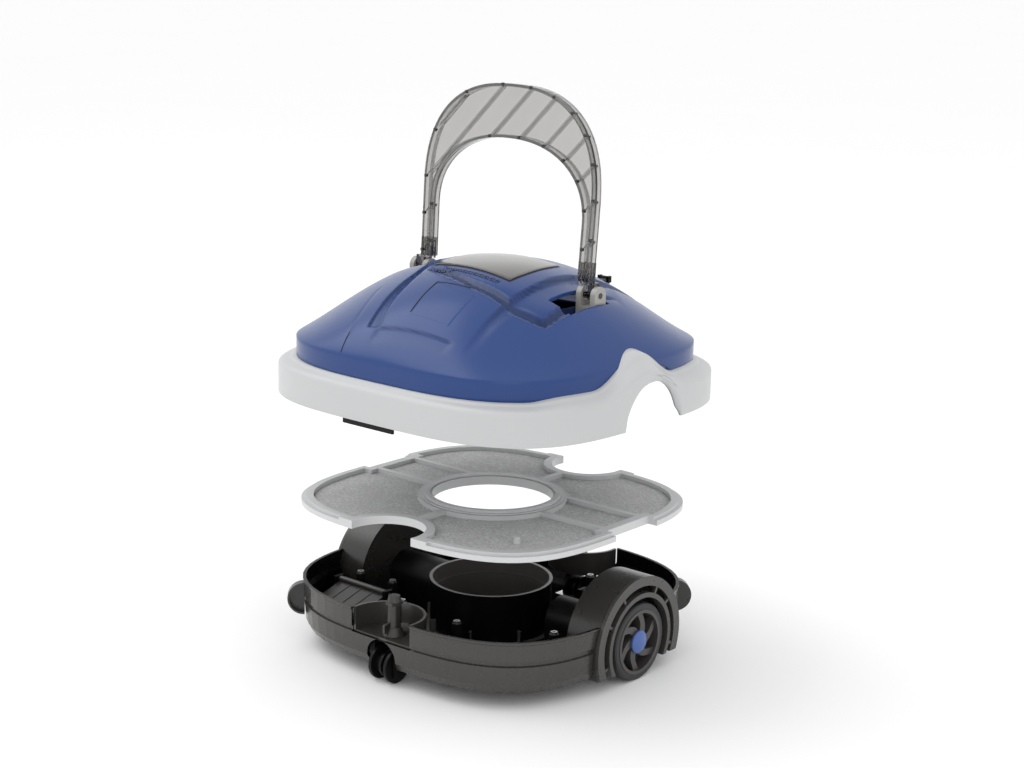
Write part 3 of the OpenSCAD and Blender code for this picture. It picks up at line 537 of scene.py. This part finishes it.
def spine_foot(x, y):
    """Small step where the spine ends above the dome's front edge."""
    beyond = np.interp(x, [-19, 67], [-152, -145]) - y
    across = ease(-24, -18, x) * (1 - ease(66, 72, x))
    return 2 * across * ease(0, 1.8, beyond) * (1 - ease(4, 18, beyond))


def front_crease(x, y):
    """Shallow crease left of the spine that runs down to the dome's front edge."""
    middle = np.interp(y, [-161, -127, -96], [-56, -66, -76])
    depth = 0.7 * ease(-172, -160, y) * (1 - ease(-100, -86, y))
    return depth * (1 - ease(0, 2.6, np.abs(x - middle)))


def dome_relief(x, y):
    """Depth of all the sculpted cuts in the dome."""
    steps = np.maximum(left_groove(x, y), np.maximum(right_arm(x, y), left_arm(x, y)))
    lines = np.maximum(spine_foot(x, y), front_crease(x, y))
    return np.maximum(np.maximum(steps, lines), front_channel(x, y)) + side_moat(x, y)


def painted_groove_shade(x, y):
    """How much painted shade darkens the dome: on the floors of its channels and on every steep wall of
    its relief.
    """
    floors = np.clip((front_channel(x, y) + side_moat(x, y)) / 4.5, 0, 0.75)
    near = 0.8
    slope_x = dome_relief(x + near, y) - dome_relief(x - near, y)
    slope_y = dome_relief(x, y + near) - dome_relief(x, y - near)
    return np.maximum(floors, np.clip(np.hypot(slope_x, slope_y) / 3, 0, 0.85))


def dome_surface(x, y):
    """Height of the dome with its sculpted cuts."""
    return dome_top(x, y) - dome_relief(x, y)


def dome_edge_z(x, y):
    """Lower edge of the dome: level, and raised over each wheel well."""
    along = y - AXLE_Y
    over_drum = DRUM_Z + np.sqrt(np.maximum(0, DRUM_R ** 2 - along ** 2))
    return np.where(np.abs(x) > DRUM_FROM_X, np.maximum(dome_low[2], over_drum), dome_low[2])


def make_dome():
    """The dome as one closed shell of rings; cut_pockets opens the handle pockets in it afterwards."""
    angles = np.linspace(0, 2 * np.pi, DOME_COLUMNS, endpoint=False)
    shares = np.sin(np.linspace(0.01, 1, DOME_RINGS) * np.pi / 2)
    rim = reach(DOME_X, DOME_Y, DOME_SQUARE, angles)

    def ring(share, inset, drop):
        """Ring on the roof at a share of the way out, moved inward and down."""
        x = share * rim * np.cos(angles)
        y = share * rim * np.sin(angles)
        shrink = 1 - inset / rim
        z = dome_surface(x, y) - drop
        return np.stack([x * shrink, y * shrink, z], -1)

    def side_ring(down, inset):
        """Ring on the upright side at a share of the way down, moved inward."""
        x = rim * np.cos(angles)
        y = rim * np.sin(angles)
        shrink = 1 - inset / rim
        edge = dome_edge_z(x, y)
        return np.stack([x * shrink, y * shrink, CREASE_Z + (edge - CREASE_Z) * down], -1)

    outside = [ring(share, 0, 0) for share in shares]
    outside += [side_ring(down, 0) for down in (0.2, 0.5, 0.8, 0.97)]
    outside += [side_ring(1, 0.8)]
    inside = [side_ring(1, SHELL - 0.5), side_ring(0.5, SHELL)]
    inside += [ring(share, SHELL * share, SHELL) for share in shares[::-3]]
    rings = outside + inside
    points, faces = skin(rings, loop_rows=False)
    obj = piece("dome_shell", points, faces, "cover", dome_blue)
    made = np.array(points)
    # Painted shade for the grooves and steep walls, kept per point in the 'cut' attribute.
    cut = obj.data.attributes.new("cut", "FLOAT", "POINT")
    cut.data.foreach_set("value", painted_groove_shade(made[:, 0], made[:, 1]).astype(np.float32))
    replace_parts(obj, "dome")
    return obj


def cut_box(obj, name, low, high):
    """Cuts a box out of an object."""
    centre = (np.array(low) + np.array(high)) / 2
    half = (np.array(high) - np.array(low)) / 2
    points = [centre + half * (i, j, k) for i in (-1, 1) for j in (-1, 1) for k in (-1, 1)]
    faces = [(0, 1, 3, 2), (4, 6, 7, 5), (0, 4, 5, 1), (2, 3, 7, 6), (0, 2, 6, 4), (1, 5, 7, 3)]
    mesh = bpy.data.meshes.new(name)
    mesh.from_pydata([tuple(p * MM) for p in points], [], faces)
    cutter = bpy.data.objects.new(name, mesh)
    bpy.context.scene.collection.objects.link(cutter)
    made = obj.modifiers.new(name, "BOOLEAN")
    made.operation = "DIFFERENCE"
    made.solver = "EXACT"
    made.object = cutter
    bpy.context.view_layer.objects.active = obj
    with bpy.context.temp_override(object=obj, active_object=obj, selected_objects=[obj]):
        bpy.ops.object.modifier_apply(modifier=name)
    bpy.data.objects.remove(cutter)


def cut_pockets(dome):
    """Opens the slots beside the handle sockets, the button seat and the charging port."""
    tub_low, tub_high = corners("pocket_tubs")
    bottom, top = tub_low[2] - 5, tub_high[2] + 60
    for side in (-1, 1):
        near, far = sorted((side * POCKET_INNER_X, side * tub_high[0]))
        cut_box(dome, "pocket", (near, tub_low[1], bottom), (far, tub_high[1], top))
    for node in ("button_seat", "charge_port"):
        low, high = corners(node)
        cut_box(dome, "port", low, high + (0, 0, 20))


def follow(points, height):
    """Lays plan points on the dome at a height above it."""
    points = np.asarray(points, float)
    return np.column_stack([points, dome_surface(points[:, 0], points[:, 1]) + height])


def laid_patch(name, corner_points, thick, lift, material, bow=0.0):
    """A plate that lies on the dome between four plan corners, front-left first, anticlockwise."""
    columns, rows = 24, 18
    a, b, c, d = (np.array(p, float) for p in corner_points)
    grid = []
    for j in range(rows + 1):
        v = j / rows
        for i in range(columns + 1):
            u = i / columns
            bulge = bow * 4 * v * (1 - v) * (2 * u - 1)
            spot = (1 - u) * (1 - v) * a + u * (1 - v) * b + u * v * c + (1 - u) * v * d
            grid.append(spot + (bulge, 0))
    count = len(grid)
    top = follow(grid, lift + thick)
    bottom = follow(grid, lift)
    w = columns + 1
    faces = []
    for j in range(rows):
        for i in range(columns):
            k = j * w + i
            faces.append((k, k + 1, k + w + 1, k + w))
            faces.append((count + k, count + k + w, count + k + w + 1, count + k + 1))
    rim = list(range(w)) + [j * w + columns for j in range(1, rows + 1)]
    rim += [rows * w + i for i in range(columns - 1, -1, -1)] + [j * w for j in range(rows - 1, 0, -1)]
    for k, here in enumerate(rim):
        there = rim[(k + 1) % len(rim)]
        faces.append((here, count + here, count + there, there))
    obj = piece(name, np.vstack([top, bottom]), faces, "cover", material)
    return bevelled(obj, 0.35, angle_deg=50)


def laid_line(name, plan_points, radius_mm, height, material):
    """A thin cord-like bead that follows the dome along plan points."""
    curve = bpy.data.curves.new(name, "CURVE")
    curve.dimensions = "3D"
    curve.bevel_depth = radius_mm * MM
    curve.bevel_resolution = 3
    curve.use_fill_caps = True
    plan_points = np.array(plan_points, float)
    steps = np.linspace(0, len(plan_points) - 1, 12 * (len(plan_points) - 1) + 1)
    dense = np.column_stack([np.interp(steps, range(len(plan_points)), plan_points[:, k]) for k in (0, 1)])
    spline = curve.splines.new("POLY")
    spline.points.add(len(dense) - 1)
    for point, place in zip(spline.points, follow(dense, height)):
        point.co = (*(place * MM), 1)
    obj = bpy.data.objects.new(name, curve)
    bpy.context.scene.collection.objects.link(obj)
    curve.materials.append(material)
    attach(obj, "cover")
    return obj


def make_crown():
    """Glossy crown panel on its dark seat, the toothed grip in front of it, and the hatch."""
    seat = [(-45.2, -46.5), (58.6, -49), (50.8, 41), (-41, 41)]
    panel = [(-44, -45.2), (57.3, -47.6), (49.6, 39.8), (-39.8, 39.8)]
    laid_patch("panel_seat", seat, thick=0.5, lift=-0.2, material=seam_blue, bow=3)
    crown = laid_patch("panel_plate", panel, thick=1.2, lift=0.3, material=panel_grey, bow=3)
    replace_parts(crown, "crown_panel")
    make_grip()
    door = [(4, -136), (54, -134), (50, -90), (-1.5, -89)]
    hatch = laid_patch("hatch_plate", door, thick=0.55, lift=-0.48, material=dome_blue)
    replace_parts(hatch, "front_hatch")
    door_seam = [(3.2, -133), (-0.5, -110), (-3, -87.5), (15, -85), (36, -82)]
    laid_line("hatch_seam", door_seam, radius_mm=0.75, height=-0.1, material=seam_blue)
    side_seam = [(-56, -158), (-53, -168), (-50.5, -176)]
    laid_line("side_seam", side_seam, radius_mm=0.6, height=0, material=seam_blue)


def make_grip():
    """Two rows of small slanted teeth along the front edge of the crown panel."""
    low, high = corners("grip_strip")
    points, faces = [], []
    pitch, row_pitch, tooth, slant = 3.6, 3.2, 2.2, 1.1
    count = int((high[0] - low[0] - 2) / pitch)
    for row in (0, 1):
        for i in range(count):
            x = low[0] + 1 + i * pitch + row * pitch / 2
            y = low[1] + 0.4 + row * row_pitch
            lean = slant if (i + row) % 2 else -slant
            plan = [(x, y), (x + tooth, y + lean * 0.4), (x + tooth + lean, y + 2.6), (x + lean, y + 2.6)]
            base = len(points)
            points += list(follow(plan, -0.3)) + list(follow(plan, 0.8))
            faces += [(base + 3, base + 2, base + 1, base), (base + 4, base + 5, base + 6, base + 7)]
            faces += prism_sides(base, 4)
    grip = piece("grip_teeth", points, faces, "cover", deep_blue, smooth=False)
    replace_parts(bevelled(grip, 0.25), "grip_strip")


# ---- handle ----

HANDLE_LEAN = math.radians(3.5)
HANDLE_X, HANDLE_DEEP = arch_high[0], 12
HANDLE_RISE = (arch_high[2] - (pin_low[2] + pin_high[2]) / 2) / math.cos(HANDLE_LEAN)
# The slanted ribs, as the CAD handle has them: where the first one meets the pivots, and their pitch.
RIB_TURN = math.radians(44)
RIB_FIRST, RIB_PITCH, RIB_COUNT = -244, 38, 9
STUD_R, STUD_SIDES = 1.7, 12
# Middle lines of the two flanges: half width, spring line and top above the pivots, and squareness.
OUTER_ARCH = (HANDLE_X - 1.5, HANDLE_RISE - 112, HANDLE_RISE - 1.5, 2.45)
INNER_ARCH = (HANDLE_X - 11.5, HANDLE_RISE - 131, HANDLE_RISE - 53.5, 2.2)


def arch_half_width(height, half, spring, top, power):
    """Half width of an arch at a height above the pivots, 0 above its top."""
    share = np.clip((height - spring) / (top - spring), 0, 1)
    return half * (1 - share ** power) ** (1 / power)


def rib_ends():
    """Places in the plane of the handle where its slanted ribs meet the two flanges."""
    ends = []
    height = np.linspace(14, HANDLE_RISE, 1500)
    for k in range(RIB_COUNT):
        x = RIB_FIRST + k * RIB_PITCH + height * math.tan(RIB_TURN)
        in_web = ((np.abs(x) < arch_half_width(height, *OUTER_ARCH))
                  & (np.abs(x) > arch_half_width(height, *INNER_ARCH)))
        for i in np.flatnonzero(np.diff(in_web.astype(int))):
            ends.append((x[i], height[i]))
    return ends


def make_pegs():
    """Small dark studs on the front of both flanges of the handle at the ends of its ribs."""
    around = np.linspace(0, 2 * np.pi, STUD_SIDES, endpoint=False)
    pivot = (pin_low + pin_high) / 2
    points, faces = [], []
    for x, height in rib_ends():
        base = len(points)
        for depth in (-HANDLE_DEEP / 2 - 0.4, 3 - HANDLE_DEEP / 2):
            for turn in around:
                up = height + STUD_R * math.sin(turn)
                back = depth * math.cos(HANDLE_LEAN) + up * math.sin(HANDLE_LEAN)
                rise = up * math.cos(HANDLE_LEAN) - depth * math.sin(HANDLE_LEAN)
                points.append((x + STUD_R * math.cos(turn), pivot[1] + back, pivot[2] + rise))
        faces += prism_sides(base, STUD_SIDES)
        faces += [tuple(reversed(range(base, base + STUD_SIDES)))]
        faces += [tuple(range(base + STUD_SIDES, base + 2 * STUD_SIDES))]
    return bevelled(piece("rib_pegs", points, faces, "handle", smoke_dark, smooth=False), 0.2)


# ---- skirt ----

def skirt_bump(y, reach_front, reach_rear, middle):
    """Bell over each wheel, as wide to the front and to the rear as said."""
    along = y - middle
    return bell(along / np.where(along < 0, reach_front, reach_rear))


def skirt_columns():
    """Angles round the skirt, closer together where the wheel arches start and end."""
    even = np.linspace(-np.pi, np.pi, SKIRT_COLUMNS, endpoint=False)
    close = []
    for spot in (ARCH_Y - ARCH_FRONT, ARCH_Y + ARCH_REAR):
        for y in np.linspace(spot - 5, spot + 5, 26):
            close += [math.atan2(y, SKIRT_X), math.atan2(y, -SKIRT_X)]
    return np.unique(np.round(np.concatenate([even, close]), 5))


def arch_height(y):
    """How far the skirt's lower edge rises over the wheel."""
    along = y - ARCH_Y
    share = np.abs(along) / np.where(along < 0, ARCH_FRONT, ARCH_REAR)
    return ARCH_RISE * np.maximum(0, 1 - np.minimum(share, 1) ** 2.3) ** 0.75


def make_skirt():
    """The light skirt: wall, rounded shoulder, ledge up to the dome, bumps and arches at the wheels."""
    angles = skirt_columns()
    rim = reach(SKIRT_X, SKIRT_Y, SKIRT_SQUARE, angles)
    dome_rim = reach(DOME_X, DOME_Y, DOME_SQUARE, angles)
    turn = np.stack([np.cos(angles), np.sin(angles)], -1)
    outer = rim[:, None] * turn
    width = rim - dome_rim
    y = outer[:, 1]
    at_side = ease(SKIRT_X - 30, SKIRT_X - 8, np.abs(outer[:, 0]))
    arch = at_side * arch_height(y)
    in_arch = ease(0, 12, arch)
    crest = at_side * skirt_bump(y, 74, 70, AXLE_Y - 20)
    shoulder = at_side * skirt_bump(y, 80, 66, AXLE_Y - 21)
    # Heights of the lower edge, of the shoulder and of the line where the ledge meets the dome. The
    # ledge goes on inside the dome for a little, and further under the crest of each bump.
    bottom = skirt_low[2] + arch
    top = skirt_low[2] + SKIRT_WALL + SHOULDER_RISE * shoulder
    contact = dome_low[2] + 0.4 + 4 * at_side + CREST_RISE * crest
    tuck = width + 2.8 + 13 * ease(0.5, 1, crest)

    def at(inward, z):
        """Ring of points an inward distance from the skirt's outline."""
        return np.column_stack([outer - turn * np.broadcast_to(inward, rim.shape)[:, None], z])

    # The lower edge is rolled inward, and more so round the wheel arches.
    lip = 1 + 7 * in_arch
    lip_in = 0.8 + 4 * in_arch
    rings = [at(lip_in + 2.2, bottom)]
    for turned in np.radians([0, 25, 50, 75]):
        rings.append(at(lip_in * (1 - math.sin(turned)), bottom + lip * (1 - math.cos(turned))))
    for share in (0.3, 0.6, 0.9):
        rings.append(at(0, bottom + lip + (top - 5 - bottom - lip) * share))
    shoulder_in = 2.6
    for inward, down in ((0, 4.6), (0.35, 2.9), (1.2, 1.3), (shoulder_in, 0.3)):
        rings.append(at(inward, top - down))

    def ledge(share, lift=0.0):
        """Place on the ledge at a share of the way from the shoulder to the dome."""
        return shoulder_in + (width - shoulder_in) * share, top + (contact - top) * share + lift

    # Over the ledge: a shallow dip, a low lip before the dome, then in under the dome's edge.
    over = [ledge(0.12), ledge(0.35, -0.25), ledge(0.55, -0.45), ledge(0.66, -0.3), ledge(0.72, 0.5),
            ledge(0.8, 0.7), (width - 0.2, contact), (tuck, contact + (tuck - width) * 0.25)]
    for inward, z in over:
        rings.append(at(inward, z))
    under = [(tuck + 0.4, over[-1][1] - 2), (width, contact - 3.2), (ledge(0.55)[0], ledge(0.55)[1] - 3.4),
             (SHELL + 2, top - 3.6), (SHELL, top - 7)]
    for inward, z in under:
        rings.append(at(inward, z))
    rings.append(at(SHELL, bottom + lip))
    points, faces = skin([list(ring) for ring in rings], loop_rows=True)
    faces = [tuple(reversed(face)) for face in faces]
    skirt = piece("skirt_shell", points, faces, "cover", skirt_white)
    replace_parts(skirt, "skirt")
    return skirt


# ---- light, floor and camera ----

LIGHT_AIM = 0.3


def make_floor():
    """A wide, nearly white floor under the object."""
    bpy.ops.mesh.primitive_circle_add(vertices=96, radius=30, fill_type="NGON")
    floor = bpy.context.object
    floor.name = "floor"
    paint = Paint("floor_pale")
    tone = paint.mixed(paint.noise(1.5, 3), (0.97, 0.97, 0.97), (0.99, 0.99, 0.99))
    paint.link(tone, paint.shader.inputs["Base Color"])
    paint.set(Roughness=0.9)
    floor.data.materials.append(paint.material)


def soft_light(name, place, size, power):
    """A large square lamp that faces the object."""
    lamp = bpy.data.lights.new(name, "AREA")
    lamp.size = size
    lamp.energy = power
    obj = bpy.data.objects.new(name, lamp)
    obj.location = place
    obj.rotation_euler = (Vector((0, 0, LIGHT_AIM)) - Vector(place)).to_track_quat("-Z", "Y").to_euler()
    bpy.context.scene.collection.objects.link(obj)


def make_light():
    """White surroundings, a key light from the front left and a weak fill light from the right."""
    world = bpy.data.worlds.new("studio")
    bpy.context.scene.world = world
    world.use_nodes = True
    world.node_tree.nodes["Background"].inputs["Color"].default_value = (1, 1, 1, 1)
    world.node_tree.nodes["Background"].inputs["Strength"].default_value = 1.0
    soft_light("key", place=(-1.6, -0.6, 2.6), size=2.0, power=22)
    soft_light("fill", place=(1.9, -2.2, 1.2), size=1.6, power=5)
    bpy.context.scene.view_settings.view_transform = "Standard"


# Turn and rise of the camera and its roll in degrees, lens in millimetres, distances in metres.
CAMERA_AZIMUTH = 40.0
CAMERA_ELEVATION = 13.5
CAMERA_DISTANCE = 2.0485
CAMERA_ROLL = 1.21
CAMERA_LENS = 68.9
AIM_RIGHT = 0.018
AIM_UP = 0.2838


def make_camera():
    """Camera on the right of the front, a little above, rolled slightly anticlockwise."""
    azimuth, elevation = math.radians(CAMERA_AZIMUTH), math.radians(CAMERA_ELEVATION)
    right = Vector((math.cos(azimuth), math.sin(azimuth), 0))
    back = Vector((math.sin(azimuth) * math.cos(elevation), -math.cos(azimuth) * math.cos(elevation),
                   math.sin(elevation)))
    up = back.cross(right)
    place = right * AIM_RIGHT + Vector((0, 0, AIM_UP)) + back * CAMERA_DISTANCE
    turned = Matrix((right, up, back)).transposed() @ Matrix.Rotation(math.radians(CAMERA_ROLL), 3, "Z")
    camera = bpy.data.cameras.new("camera")
    camera.lens = CAMERA_LENS
    camera.sensor_width = 36
    obj = bpy.data.objects.new("camera", camera)
    obj.matrix_world = Matrix.Translation(place) @ turned.to_4x4()
    bpy.context.scene.collection.objects.link(obj)
    bpy.context.scene.camera = obj


dress_cad_nodes()
cut_pockets(make_dome())
make_crown()
make_pegs()
make_skirt()
make_floor()
make_light()
make_camera()
